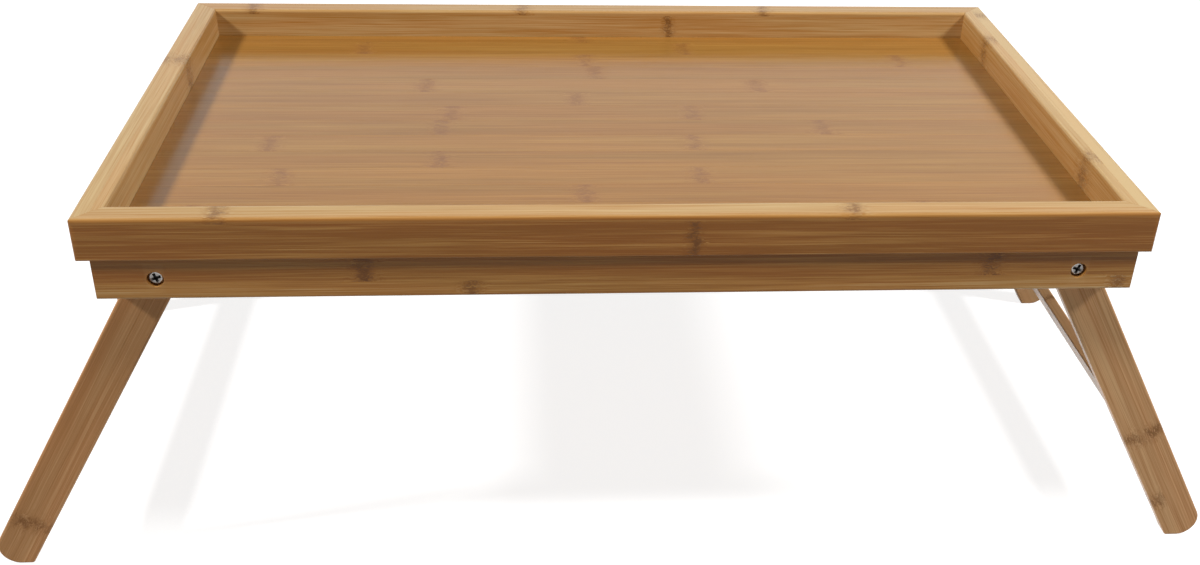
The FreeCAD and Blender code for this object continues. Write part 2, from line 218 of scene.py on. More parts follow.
def lay_floor():
    mesh = bpy.data.meshes.new("floor")
    reach = FLOOR_REACH
    corners = [(-reach, -reach, 0), (reach, -reach, 0), (reach, reach, 0), (-reach, reach, 0)]
    mesh.from_pydata(corners, [], [(0, 1, 2, 3)])
    floor = bpy.data.objects.new("floor", mesh)
    bpy.context.scene.collection.objects.link(floor)
    paint, tree, shader = new_paint("floor_white")
    tree.feed(shader["Base Color"], solid(FLOOR_GREY))
    tree.feed(shader["Roughness"], FLOOR_ROUGHNESS)
    tree.feed(shader["Emission Color"], solid(WHITE))
    tree.feed(shader["Emission Strength"], tree.math("MULTIPLY", seen_directly(tree), FLOOR_GLOW))
    mesh.materials.append(paint)


# --- Bamboo --------------------------------------------------------------------------------------
# Every bamboo piece carries its own measures for the figure.
MEASURES = (
    ("grain", "FLOAT_VECTOR", "POINT"),     # along, across and through the stock, in metres
    ("arris", "FLOAT", "POINT"),            # 1 midway round an arris and 0 on a flat
    ("strip", "FLOAT", "FACE"),             # the number of the strip that the face is cut from
    ("knuckles", "FLOAT_VECTOR", "FACE"),   # where its culm knuckles are along the stock, in metres
    ("tone", "FLOAT", "FACE"),              # how pale the strip is, from 0 to 1, with painted light making an upward face paler
    ("endgrain", "FLOAT", "FACE"),          # how far the face cuts across the fibres, from 0 to 1
    ("character", "FLOAT_VECTOR", "FACE"),  # how streaked it is, its knuckles' darkness and width
)
FAR = 9.0                    # a place for a knuckle that a strip doesn't have
STRIPS_APART = 3.7           # from one strip to the next in the noise, so that no two are alike

# Where a knuckle's mark begins, is full, is still full and ends, in millimetres along the grain.
KNUCKLE_BAND = (-8.0, -1.0, 1.0, 7.0)
KNUCKLE_CORE = (-4.5, -0.5, 0.5, 3.5)

WARMER = (1.02, 0.985, 0.96)
COOLER = (0.98, 1.015, 1.03)
ENDGRAIN_DARKER = 0.25       # how far a sawn end falls in tone
FIBRE_DULLS = 0.10           # what the fibres and the knuckles add to the roughness
STAIN_DULLS = 0.08
BAMBOO_RELIEF = 0.06 * MM
KNUCKLE_SINKS = 1.5          # in the relief, beside the figure


def hump(tree, value, begins, full, still_full, ends):
    rise = tree.steps(value, begins, full)
    return tree.math("MULTIPLY", rise, tree.steps(value, ends, still_full))


def knuckle_marks(tree, along, knuckles, spread):
    """The stained band round each knuckle and its darker core, each from 0 to 1."""
    bands = []
    cores = []
    for place in tree.split(knuckles):
        off = tree.math("MULTIPLY", tree.math("SUBTRACT", along, place), 1 / MM)
        off = tree.math("DIVIDE", off, spread)
        bands.append(hump(tree, off, *KNUCKLE_BAND))
        cores.append(hump(tree, off, *KNUCKLE_CORE))
    return tree.highest(bands), tree.highest(cores)


def bamboo_figure():
    """The group that turns a piece's measures into streaks, knuckles and relief."""
    made = bpy.data.node_groups.new("bamboo_figure", "ShaderNodeTree")
    for name in ("Figure", "Stain", "Core", "Fibre", "Hue"):
        made.interface.new_socket(name, in_out="OUTPUT", socket_type="NodeSocketFloat")
    tree = Tree(made)
    streak, stain, spread = tree.split(tree.attribute("character", "Vector"))
    x, y, z = tree.split(tree.attribute("grain", "Vector"))
    apart = tree.math("MULTIPLY", tree.attribute("strip"), STRIPS_APART)

    def swings(long, wide, amount, detail=1.0):
        """A wander of up to half this amount to either side, in metres."""
        place = tree.xyz(
            tree.math("DIVIDE", x, long), tree.math("DIVIDE", y, wide),
            tree.math("DIVIDE", z, wide))
        swing = tree.math("SUBTRACT", noise(tree, place, detail, seed=apart), 0.5)
        return tree.math("MULTIPLY", swing, amount)

    # The fibres swing a little, and wave beside a knuckle, whose edges are ragged.
    ragged = tree.math("ADD", x, swings(long=0.02, wide=0.0022, amount=0.009, detail=3.0))
    band, core = knuckle_marks(tree, ragged, tree.attribute("knuckles", "Vector"), spread)
    wave = tree.math("MULTIPLY", swings(long=0.0040, wide=0.006, amount=0.0050), band)
    swing = tree.math("ADD", swings(long=0.08, wide=0.016, amount=0.0010), wave)
    side = tree.math("ADD", y, swing)
    deep = tree.math("ADD", z, swing)

    def streaks(long, wide, detail, rough, seed):
        """Noise drawn out along the grain: features this long and this wide, in metres."""
        place = tree.xyz(
            tree.math("DIVIDE", x, long), tree.math("DIVIDE", side, wide),
            tree.math("DIVIDE", deep, wide))
        return noise(tree, place, detail, rough, tree.math("ADD", apart, seed))

    broad = streaks(long=0.30, wide=0.0060, detail=1.0, rough=0.5, seed=0.0)
    bundle = streaks(long=0.12, wide=0.0011, detail=3.0, rough=0.65, seed=11.0)
    fibre = streaks(long=0.050, wide=0.00045, detail=2.0, rough=0.6, seed=23.0)
    dash = streaks(long=0.0030, wide=0.00055, detail=2.0, rough=0.6, seed=31.0)
    patches = streaks(long=0.009, wide=0.0040, detail=1.0, rough=0.5, seed=47.0)
    hue = streaks(long=0.15, wide=0.010, detail=1.0, rough=0.5, seed=59.0)
    figure = tree.math("SUBTRACT", broad, 0.5)
    for layer, weight in ((bundle, 1.7), (fibre, 1.6)):
        figure = tree.math("MULTIPLY_ADD", tree.math("SUBTRACT", layer, 0.5), weight, figure)
    figure = tree.math("MULTIPLY", figure, streak)

    # A knuckle is a patchy cluster of short dark dashes, denser where the culm's wall crossed.
    patchy = tree.steps(patches, 0.34, 0.60, to_low=0.4)
    dense = tree.steps(core, 0, 1, smooth=False, to_low=0.50, to_high=0.40)
    broken = tree.steps(tree.math("SUBTRACT", dash, dense), -0.03, 0.10)
    core = tree.math("MULTIPLY", tree.math("MULTIPLY", core, broken), patchy)
    speckled = tree.steps(broken, 0, 1, smooth=False, to_low=0.3)
    stained = tree.math("MULTIPLY", tree.math("MULTIPLY", band, speckled), patchy)

    tree.put("NodeGroupOutput", {
        "Figure": figure,
        "Stain": tree.math("MULTIPLY", stained, stain),
        "Core": tree.math("MULTIPLY", core, stain),
        "Fibre": fibre,
        "Hue": hue,
    })
    return made


def bamboo(name, deep, middle, pale, mark, contrast, rough, ior):
    """Varnished bamboo between three colours, with its knuckles stained towards mark."""
    paint, tree, shader = new_paint(name)
    figure = tree.node("ShaderNodeGroup", node_tree=FIGURE).outputs
    sawn = tree.attribute("endgrain")
    level = tree.math("MULTIPLY_ADD", figure["Figure"], contrast, tree.attribute("tone"))
    level = tree.math("MULTIPLY_ADD", sawn, -ENDGRAIN_DARKER, level)
    ramp = tree.put("ShaderNodeValToRGB", {0: level})
    ramp.color_ramp.elements[0].color = solid(deep)
    ramp.color_ramp.elements[1].color = solid(pale)
    ramp.color_ramp.elements.new(0.5).color = solid(middle)
    hue = tree.mix(tree.steps(figure["Hue"], 0.35, 0.65), solid(WARMER), solid(COOLER))
    colour = tree.mix(1.0, ramp.outputs[0], hue, "MULTIPLY")

    # Pores on a sawn end, the knuckles' bands and cores, and the arrises where varnish lies thin.
    pores = tree.math("MULTIPLY", tree.steps(figure["Fibre"], 0.50, 0.60), sawn)
    for amount, strength, towards in (
        (pores, 0.5, mark),
        (figure["Stain"], 0.6, mark),
        (figure["Core"], 0.5, shaded(mark, 0.6)),
        (tree.attribute("arris"), 0.08, shaded(pale, 1.25)),
    ):
        colour = tree.mix(tree.math("MULTIPLY", amount, strength), colour, solid(towards))
    tree.feed(shader["Base Color"], colour)

    dull = tree.math("MULTIPLY_ADD", figure["Fibre"], FIBRE_DULLS, rough - FIBRE_DULLS / 2)
    tree.feed(shader["Roughness"], tree.math("MULTIPLY_ADD", figure["Stain"], STAIN_DULLS, dull))
    tree.feed(shader["IOR"], ior)
    height = tree.math("MULTIPLY_ADD", figure["Core"], -KNUCKLE_SINKS, figure["Figure"])
    fed = {"Strength": 0.25, "Distance": BAMBOO_RELIEF, "Height": height}
    tree.feed(shader["Normal"], tree.put("ShaderNodeBump", fed).outputs[0])
    return paint


# --- Metals, nylon and raw birch -----------------------------------------------------------------
PAINTED_RIM_HIGHLIGHT = (0.72, 0.71, 0.69)  # painted highlight on the rim of a screw head
PAINTED_CROSS_SHADE = (0.02, 0.02, 0.02)   # painted shade down in the cross of a head
CLOUD_SIZE = 1 / 900.0       # in metres
GRAIN_SIZE = 1 / 9000.0
GRAIN_DULLS = 0.15           # what the grain adds to the roughness


def metal(name, colour, rough):
    """Plated steel: clouded in tone and finely grained, with a painted highlight on a screw head's
    rim and painted shade down in its cross.
    """
    paint, tree, shader = new_paint(name)
    place = tree.node("ShaderNodeTexCoord").outputs["Object"]
    cloud = noise(tree, tree.scaled(place, 1 / CLOUD_SIZE), 3.0, 0.6)
    grain = noise(tree, tree.scaled(place, 1 / GRAIN_SIZE), 2.0, 0.6, 5.0)
    painted_light = tree.attribute("painted_light")
    shade = tree.mix(cloud, solid(shaded(colour, 0.7)), solid(colour))
    # Painted light: a screw head's rim is painted bright as a highlight, and its cross is painted
    # dark as shade.
    shade = tree.mix(tree.math("MULTIPLY", painted_light, 0.8), shade, solid(PAINTED_RIM_HIGHLIGHT))
    shade = tree.mix(tree.math("MULTIPLY", painted_light, -0.9), shade, solid(PAINTED_CROSS_SHADE))
    tree.feed(shader["Base Color"], shade)
    tree.feed(shader["Metallic"], 1.0)
    tree.feed(shader["Roughness"], tree.math("MULTIPLY_ADD", grain, GRAIN_DULLS, rough))
    fed = {"Strength": 0.15, "Distance": 0.02 * MM, "Height": grain}
    tree.feed(shader["Normal"], tree.put("ShaderNodeBump", fed).outputs[0])
    return paint


def clouded(name, colour, rough, size):
    """A plain stuff, such as nylon or raw birch, with a soft unevenness of this size in metres."""
    paint, tree, shader = new_paint(name)
    place = tree.node("ShaderNodeTexCoord").outputs["Object"]
    cloud = noise(tree, tree.scaled(place, 1.0 / size), 3.0, 0.6)
    shade = tree.mix(cloud, solid(shaded(colour, 0.8)), solid(colour))
    tree.feed(shader["Base Color"], shade)
    tree.feed(shader["Roughness"], tree.math("MULTIPLY_ADD", cloud, 0.1, rough))
    fed = {"Strength": 0.2, "Distance": 0.1 * MM, "Height": cloud}
    tree.feed(shader["Normal"], tree.put("ShaderNodeBump", fed).outputs[0])
    return paint


# --- Making pieces -------------------------------------------------------------------------------
SAME_POINT = 0.0002 * MM     # two corners this close are one
WOOD_CREASE = 14             # the least angle that stays a crisp edge, in degrees
METAL_CREASE = 35
NUT_CREASE = 20


def new_object(name, mesh):
    made = bpy.data.objects.new(name, mesh)
    bpy.context.scene.collection.objects.link(made)
    return made


def keep_result(piece):
    """Turns what a piece's modifiers make into its plain mesh."""
    seen = piece.evaluated_get(bpy.context.evaluated_depsgraph_get())
    mesh = bpy.data.meshes.new_from_object(seen)
    piece.modifiers.clear()
    piece.data = mesh


def loft(name, rings, closed=False):
    """A skin over rings with the same number of points; a ring of one point is a pole."""
    work = bmesh.new()
    made = [[work.verts.new(Vector(p) * MM) for p in ring] for ring in rings]
    pairs = list(zip(made, made[1:]))
    if closed:
        pairs.append((made[-1], made[0]))
    for low, high in pairs:
        count = max(len(low), len(high))
        for i in range(count):
            j = (i + 1) % count
            corners = [low[i % len(low)], low[j % len(low)], high[j % len(high)], high[i % len(high)]]
            work.faces.new(dict.fromkeys(corners))
    if not closed:
        for ring in (made[0], made[-1]):
            if len(ring) > 1:
                work.faces.new(ring)
    bmesh.ops.recalc_face_normals(work, faces=work.faces)
    mesh = bpy.data.meshes.new(name)
    work.to_mesh(mesh)
    work.free()
    mesh.shade_smooth()
    return new_object(name, mesh)


def cut(piece, cutters):
    """Takes the cutters out of a piece, and does away with them."""
    for cutter in cutters:
        tool = piece.modifiers.new("cut", "BOOLEAN")
        tool.solver = "EXACT"
        tool.operation = "DIFFERENCE"
        tool.object = cutter
    keep_result(piece)
    for cutter in cutters:
        bpy.data.objects.remove(cutter)

    # Faces with many corners are split before corners that lie together are merged, so that the
    # merging leaves no gap along a bore's edge.
    work = bmesh.new()
    work.from_mesh(piece.data)
    bmesh.ops.triangulate(work, faces=[face for face in work.faces if len(face.verts) > 4])
    bmesh.ops.remove_doubles(work, verts=work.verts, dist=SAME_POINT)
    work.to_mesh(piece.data)
    work.free()


def finish_piece(piece, body, stands_for, crease=WOOD_CREASE):
    """Ties a finished piece to its body and the CAD nodes it stands for."""
    piece.data.set_sharp_from_angle(angle=math.radians(crease))
    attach(piece, body)
    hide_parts(*stands_for)


def run_tree(piece, tree, values):
    """Runs a Geometry Nodes tree on a piece and keeps the result as its plain mesh."""
    maker = piece.modifiers.new("maker", "NODES")
    maker.node_group = tree
    for item in tree.interface.items_tree:
        if item.in_out == "INPUT" and item.name in values:
            maker[item.identifier] = values[item.name]
    keep_result(piece)


def new_maker(name, inputs):
    """An empty Geometry Nodes tree with its named inputs, and its input sockets by name."""
    made = bpy.data.node_groups.new(name, "GeometryNodeTree")
    made.interface.new_socket("Geometry", in_out="INPUT", socket_type="NodeSocketGeometry")
    for label, kind in inputs:
        made.interface.new_socket(label, in_out="INPUT", socket_type="NodeSocket" + kind)
    made.interface.new_socket("Geometry", in_out="OUTPUT", socket_type="NodeSocketGeometry")
    tree = Tree(made)
    return made, tree, tree.node("NodeGroupInput").outputs


def finish_tree(tree, geometry, material):
    real = tree.put("GeometryNodeRealizeInstances", {"Geometry": geometry}).outputs[0]
    faced = tree.put("GeometryNodeSetMaterial", {"Geometry": real, "Material": material})
    tree.put("NodeGroupOutput", {0: faced.outputs[0]})


def ring_of(radius, z, sides):
    """A ring of points round Z, or a single point where the radius is 0."""
    if radius == 0:
        return [(0, 0, z)]
    turns = [2 * math.pi * i / sides for i in range(sides)]
    return [(radius * math.cos(t), radius * math.sin(t), z) for t in turns]


def drum(name, outline, lay, sides=40):
    """A round solid from its outline of (radius, height), laid by a matrix."""
    made = loft(name, [ring_of(r, z, sides) for r, z in outline])
    made.data.transform(lay)
    return made


# --- Measures ------------------------------------------------------------------------------------
# A bamboo piece is made lying along its own X, with Y across and Z through or up the stock.
HALF_TURNED = 0.29           # what a normal's largest part has lost midway round an arris
PAINTED_TOP_LIGHT = (0.55, 0.95)      # the upward part of a normal where the painted top light begins and is full
MOST_KNUCKLES = 3


def cut_strip(number, knuckles, tone, painted_lit_top_tone=None, streak=1.0, stain=1.0, spread=1.0):
    """One strip of a piece: its knuckles' places along X in millimetres, and its look.

    The tone given for its upper face is painted light: it makes an upward face paler, as if lit from
    above.
    """
    return {
        "number": number,
        "knuckles": [place * MM for place in knuckles] + [FAR] * (MOST_KNUCKLES - len(knuckles)),
        "tone": tone,
        "painted_lit_top_tone": tone if painted_lit_top_tone is None else painted_lit_top_tone,
        "character": (streak, stain, spread),
    }


def measure(piece, strip_at, strips, lay):
    """Stores a piece's measures, then lays it in its place in the table."""
    mesh = piece.data
    for name, kind, domain in MEASURES:
        mesh.attributes.new(name, kind, domain)
    kept = {name: layer.data for name, layer in mesh.attributes.items()}
    for i, vertex in enumerate(mesh.vertices):
        kept["grain"][i].vector = vertex.co
        square = max(abs(c) for c in vertex.normal)
        kept["arris"][i].value = min(1.0, (1.0 - square) / HALF_TURNED)
    for i, face in enumerate(mesh.polygons):
        its = strips[strip_at(face.center / MM)]
        up = share(face.normal.z, *PAINTED_TOP_LIGHT)
        kept["strip"][i].value = its["number"]
        kept["knuckles"][i].vector = its["knuckles"]
        # An upward face is painted towards its top tone: painted light from above.
        kept["tone"][i].value = its["tone"] + (its["painted_lit_top_tone"] - its["tone"]) * up
        kept["character"][i].vector = its["character"]
        kept["endgrain"][i].value = abs(face.normal.x)
    mesh.transform(lay)
    if lay.determinant() < 0:
        mesh.flip_normals()


def axes(x, y, z, origin):
    """The matrix that lays a piece's own axes in the table, from an origin in millimetres."""
    lay = Matrix((x, y, z)).transposed().to_4x4()
    lay.translation = Vector(origin) * MM
    return lay


# --- Sections ------------------------------------------------------------------------------------
KEPT_FLAT = 0.35             # from a round to the point that keeps the face beside it flat
GLUE_LINE_HALF = 0.1
GLUE_LINE_DEPTH = 0.04


def arc(y, z, radius, start, end, steps=8):
    """Points of an arc in a section, the angles in degrees from +Y."""
    turns = [math.radians(start + (end - start) * i / steps) for i in range(steps + 1)]
    return [(y + radius * math.cos(t), z + radius * math.sin(t)) for t in turns]


def groove(line, depth=GLUE_LINE_DEPTH):
    """The faint groove at a glue line, as places along a face and how deep each lies in it."""
    return [(line - GLUE_LINE_HALF, 0), (line, depth), (line + GLUE_LINE_HALF, 0)]


def rounded_box(low_y, high_y, low_z, high_z, radius, lines=()):
    """A rounded rectangle, clockwise. lines are the heights of the glue lines on its two sides."""
    marks = [mark for line in lines for mark in groove(line)]
    left = [(low_y + dip, z) for z, dip in marks]
    right = [(high_y - dip, z) for z, dip in reversed(marks)]
    inner_y, inner_z = (low_y + radius, high_y - radius), (low_z + radius, high_z - radius)
    near = KEPT_FLAT
    return [
        *arc(inner_y[0], inner_z[0], radius, 270, 180),
        (low_y, inner_z[0] + near), *left, (low_y, inner_z[1] - near),
        *arc(inner_y[0], inner_z[1], radius, 180, 90),
        (inner_y[0] + near, high_z), (inner_y[1] - near, high_z),
        *arc(inner_y[1], inner_z[1], radius, 90, 0),
        (high_y, inner_z[1] - near), *right, (high_y, inner_z[0] + near),
        *arc(inner_y[1], inner_z[0], radius, 0, -90),
        (inner_y[1] - near, low_z), (inner_y[0] + near, low_z),
    ]


# --- Swept pieces --------------------------------------------------------------------------------
STATIONS = 110               # along a swept bar
HOLLOWS_PER_METRE = 22.0
NEXT_TO_NOTHING = 1e-7       # keeps a division away from nought


def sweep_maker():
    """Draws a section along X, mitres or squares its ends and rounds its outside corners.

    The section is the base mesh, flat in X and Y, and becomes Y and Z of the swept piece.
    """
    made, tree, given = new_maker("sweep_section", [
        ("Length", "Float"), ("Stations", "Int"), ("Mitred", "Float"), ("Corner", "Float"),
        ("Unevenness", "Float"), ("Seed", "Float"), ("Finish", "Material"),
    ])
    half = tree.math("DIVIDE", given["Length"], 2.0)
    section = tree.put("GeometryNodeMeshToCurve", {"Mesh": given["Geometry"]}).outputs[0]
    line = tree.put("GeometryNodeCurvePrimitiveLine", {
        "Start": tree.xyz(0.0, 0.0, tree.math("MULTIPLY", half, -1.0)),
        "End": tree.xyz(0.0, 0.0, half),
    })
    path = tree.put("GeometryNodeResampleCurve", {
        "Curve": line.outputs[0], "Count": given["Stations"],
    })
    bar = tree.put("GeometryNodeCurveToMesh", {
        "Curve": path.outputs[0], "Profile Curve": section, "Fill Caps": True,
    }).outputs[0]

    # Stations crowd towards the ends, where the corner is rounded.
    y, z, s = tree.split(tree.node("GeometryNodeInputPosition").outputs[0])
    swing = tree.math("MULTIPLY", tree.math("DIVIDE", s, half), math.pi / 2)
    x = tree.math("MULTIPLY", tree.math("SINE", swing), half)
    mitre = tree.math("MULTIPLY", tree.math("DIVIDE", y, half), given["Mitred"])
    x = tree.math("MULTIPLY", x, tree.math("SUBTRACT", 1.0, mitre))

    # The outside corner is rounded in plan.
    r = given["Corner"]
    past = tree.math("SUBTRACT", tree.math("ABSOLUTE", x), tree.math("SUBTRACT", half, r))
    past = tree.math("MAXIMUM", past, 0.0)
    short = tree.math("MAXIMUM", tree.math("SUBTRACT", r, y), 0.0)
    reach = tree.math("MULTIPLY", past, past)
    reach = tree.math("SQRT", tree.math("MULTIPLY_ADD", short, short, reach))
    keep = tree.math("DIVIDE", r, tree.math("MAXIMUM", reach, NEXT_TO_NOTHING))
    lost = tree.math("SUBTRACT", 1.0, tree.math("MINIMUM", keep, 1.0))
    lost = tree.math("MULTIPLY", lost, tree.math("GREATER_THAN", r, 0.0))
    shorter = tree.math("MULTIPLY", tree.math("SIGN", x), tree.math("MULTIPLY", past, lost))
    own = tree.xyz(
        tree.math("SUBTRACT", x, shorter), tree.math("MULTIPLY_ADD", short, lost, y), z)
    bar = tree.put("GeometryNodeSetPosition", {"Geometry": bar, "Position": own}).outputs[0]

    # Sanding leaves the faces very slightly hollow here and there.
    place = tree.scaled(tree.node("GeometryNodeInputPosition").outputs[0], HOLLOWS_PER_METRE)
    wave = noise(tree, place, 1.0, 0.5, given["Seed"])
    hollow = tree.math("MULTIPLY", wave, tree.math("MULTIPLY", given["Unevenness"], -1.0))
    outwards = tree.node("GeometryNodeInputNormal").outputs[0]
    bar = tree.put("GeometryNodeSetPosition", {
        "Geometry": bar, "Offset": tree.scaled(outwards, hollow),
    }).outputs[0]
    finish_tree(tree, bar, given["Finish"])
    return made


def sweep(name, section, length, seed, finish, mitred=0.0, corner=0.0, unevenness=0.07):
    """A bar with this section, drawn clockwise in millimetres, lying along its own X."""
    points = [Vector((y, z, 0)) * MM for y, z in reversed(section)]
    ring = [(i, (i + 1) % len(points)) for i in range(len(points))]
    mesh = bpy.data.meshes.new(name)
    mesh.from_pydata(points, ring, [])
    piece = new_object("finished_" + name, mesh)
    run_tree(piece, SWEEP, {
        "Length": length * MM, "Stations": STATIONS, "Mitred": mitred, "Corner": corner * MM,
        "Unevenness": unevenness * MM, "Seed": seed, "Finish": finish,
    })
    piece.data.shade_smooth()
    return piece


# --- Tray frame ----------------------------------------------------------------------------------
FRAME_TOP_ROUND = 1.6
FRAME_FOOT_ROUND = 0.8
FRAME_CORNER_ROUND = 1.5
REBATE_FACE = 9.5            # the rebate under the inner edge, which takes the panel
REBATE_TOP = 3.0
CAP_LINE = 18.2              # the glue line under the strip that caps a front or back rail
SEAM = 8.0                   # the glue line between the two layers of an end rail


def frame_rail_section(capped):
    """A frame rail's outline, y inwards and z up, rebated for the panel on its lower inner edge."""
    lines = [CAP_LINE] if capped else []
    outline = rounded_box(0, RAIL_WIDTH, 0, RAIL_HEIGHT, FRAME_TOP_ROUND, lines)
    outline = [(y, z) for y, z in outline if z > REBATE_TOP]
    r = FRAME_FOOT_ROUND
    foot = arc(r, r, r, 270, 180) + [(0, r + 0.4)]
    rebate = [(RAIL_WIDTH, REBATE_TOP), (REBATE_FACE, REBATE_TOP), (REBATE_FACE, 0)]
    if capped:
        return foot + outline + rebate
    at = next(i for i, (y, z) in enumerate(outline) if y > SEAM)
    outline[at:at] = [(y, RAIL_HEIGHT - dip) for y, dip in groove(SEAM)]
    return foot + outline + rebate + [(SEAM, 0)]


def capped_strip(point):
    return 0 if point.z > CAP_LINE else 1


def layered_strip(point):
    return 0 if point.y < SEAM else 1


def make_frame_rails():
    # Each rail: its length, how far out it lies, its turn in degrees, and its two strips.
    rails = {
        # A strip's second tone is painted on its upward faces, paler, as light from above.
        "front_frame_rail": (TRAY_LENGTH, TRAY_DEPTH / 2, 0, capped_strip, [
            cut_strip(1, (-186, 105), 0.25, 0.74, streak=1.0, stain=0.8, spread=1.3),
            cut_strip(2, (30,), 0.04, streak=1.8, stain=1.3, spread=0.9),
        ]),
        "right_frame_rail": (TRAY_DEPTH, TRAY_LENGTH / 2, 90, layered_strip, [
            cut_strip(5, (133,), 0.10, 1.00, streak=0.8, stain=0.6, spread=2.0),
            cut_strip(6, (88, -86), 0.62, 0.88, streak=0.8, stain=0.8, spread=2.0),
        ]),
        "back_frame_rail": (TRAY_LENGTH, TRAY_DEPTH / 2, 180, capped_strip, [
            cut_strip(9, (214, 48, -105), 0.65, 0.70, streak=0.8, stain=0.8, spread=1.3),
            cut_strip(10, (-45,), 0.68, streak=1.2, spread=0.9),
        ]),
        "left_frame_rail": (TRAY_DEPTH, TRAY_LENGTH / 2, 270, layered_strip, [
            cut_strip(13, (-50,), 0.10, 0.82, streak=0.9, stain=0.7, spread=2.2),
            cut_strip(14, (-48,), 0.72, 0.76, streak=0.9, stain=0.8, spread=2.2),
        ]),
    }
    for seed, (name, (length, out, turn, strip_at, strips)) in enumerate(rails.items()):
        section = frame_rail_section(strip_at is capped_strip)
        piece = sweep(name, section, length, seed, RAIL_FINISH, mitred=1.0,
                      corner=FRAME_CORNER_ROUND)
        lay = Matrix.Rotation(math.radians(turn), 4, "Z")
        lay = lay @ Matrix.Translation(Vector((0, -out, FRAME_UNDERSIDE)) * MM)
        measure(piece, strip_at, strips, lay)
        finish_piece(piece, "tray", [name])


# --- Tray panel ----------------------------------------------------------------------------------
PANEL_THICKNESS = 4.5
MARGIN_THICKNESS = 3.0
PANEL_BEVEL = 0.2
PANEL_EDGE_X, PANEL_EDGE_Y = 240.3, 140.3        # its margin's edge, up in the rebate
PANEL_FIELD_X, PANEL_FIELD_Y = 235.85, 135.85    # the thicker middle's edge, inside the rails
PANEL_KEPT_FLAT = 0.5        # from its edge, past the bevel
PANEL_LINE_DEPTH = 0.03
PANEL_UNEVENNESS = 0.05
PANEL_SEED = 7
FIRST_PANEL_STRIP = 31
LATH_WIDTH = 20.6
FIRST_LATH = -143.2
LATHS = [                    # the places of each lath's knuckles, and its tone
    ((-60,), 0.47), ((150, -205), 0.53), ((-18,), 0.44), ((-170, 42), 0.56), ((-91,), 0.47),
    ((-180, 44), 0.56), ((-92, 117), 0.44), ((-87, 47), 0.53), ((-17,), 0.50), ((-103, 90), 0.56),
    ((-4,), 0.47), ((-10, 185), 0.56), ((-144, 52), 0.53), ((-11,), 0.44),
]


def panel_section():
    """The panel's outline across the tray, with a groove at each line between two laths."""
    lines = [FIRST_LATH + LATH_WIDTH * i for i in range(1, len(LATHS))]
    marks = [mark for line in lines for mark in groove(line, PANEL_LINE_DEPTH)]
    top = [(y, PANEL_THICKNESS - dip) for y, dip in marks]
    bottom = [(y, dip) for y, dip in reversed(marks)]
    back = [
        (PANEL_FIELD_Y - PANEL_KEPT_FLAT, PANEL_THICKNESS),
        (PANEL_FIELD_Y - PANEL_BEVEL, PANEL_THICKNESS),
        (PANEL_FIELD_Y, PANEL_THICKNESS - PANEL_BEVEL), (PANEL_FIELD_Y, MARGIN_THICKNESS),
        (PANEL_EDGE_Y, MARGIN_THICKNESS), (PANEL_EDGE_Y, 0),
    ]
    front = [(-y, z) for y, z in reversed(back)]
    return front + top + back + bottom


def lath_at(point):
    return min(len(LATHS) - 1, int((point.y - FIRST_LATH) / LATH_WIDTH))


def make_panel():
    panel = sweep("tray_panel", panel_section(), 2 * PANEL_EDGE_X, PANEL_SEED, PANEL_FINISH,
                  unevenness=PANEL_UNEVENNESS)
    # The cutters that step the ends down to the margin reach a little past what they cut.
    y, low, high = PANEL_EDGE_Y - 0.3, MARGIN_THICKNESS, PANEL_THICKNESS + 0.5
    steps = []
    for side in (-1, 1):
        ends = (side * PANEL_FIELD_X, side * (PANEL_EDGE_X + 1))
        rings = [[(x, -y, low), (x, y, low), (x, y, high), (x, -y, high)] for x in ends]
        steps.append(loft("end_step", rings))
    cut(panel, steps)
    laths = [cut_strip(FIRST_PANEL_STRIP + i, places, tone, streak=1.5, stain=0.7, spread=1.5)
             for i, (places, tone) in enumerate(LATHS)]
    measure(panel, lath_at, laths, Matrix.Translation((0, 0, FRAME_UNDERSIDE * MM)))
    finish_piece(panel, "tray", ["tray_panel"])


# --- Lower rails ---------------------------------------------------------------------------------
LOWER_RAIL_ROUND = 1.2
LOWER_RAIL_LINE = 8.2        # the glue line between its two strips
COUNTERBORE_RADIUS = 3.9
COUNTERBORE_DEPTH = 3.4
PIVOT_HOLE_RADIUS = 1.9
RAIL_SCREW_PLACES = (-170, 0, 170)
RAIL_SCREW_Y = 143.0
RAIL_SCREW_HEAD_EDGE = 0.4   # the straight edge of the head, outside its cone
SINK_RADIUS = 3.45
SCREW_HOLE_RADIUS = 1.78


def lower_rail_strip(point):
    return 0 if point.z > LOWER_RAIL_LINE else 1


def lower_rail_bores():
    """Cutters for a lower rail's counterbored pivot holes and countersunk screw holes."""
    outside, through = -4, RAIL_WIDTH + 2
    counterbore = [
        (0, outside), (COUNTERBORE_RADIUS, outside), (COUNTERBORE_RADIUS, COUNTERBORE_DEPTH),
        (PIVOT_HOLE_RADIUS, COUNTERBORE_DEPTH), (PIVOT_HOLE_RADIUS, through), (0, through),
    ]
    outside, through = -1, RAIL_HEIGHT + 2
    cone_end = RAIL_SCREW_HEAD_EDGE + SINK_RADIUS - SCREW_HOLE_RADIUS
    countersink = [
        (0, outside), (SINK_RADIUS, outside), (SINK_RADIUS, RAIL_SCREW_HEAD_EDGE),
        (SCREW_HOLE_RADIUS, cone_end), (SCREW_HOLE_RADIUS, through), (0, through),
    ]
    bores = []
    for x in (-PIVOT_X, PIVOT_X):
        lay = Matrix.Translation(Vector((x, 0, PIVOT_Z - LOWER_RAIL_UNDERSIDE)) * MM)
        lay = lay @ Matrix.Rotation(math.radians(-90), 4, "X")
        bores.append(drum("counterbore", counterbore, lay))
    inwards = LOWER_RAIL_OUTSIDE - RAIL_SCREW_Y
    for x in RAIL_SCREW_PLACES:
        lay = Matrix.Translation((x * MM, inwards * MM, 0))
        bores.append(drum("countersink", countersink, lay))
    return bores


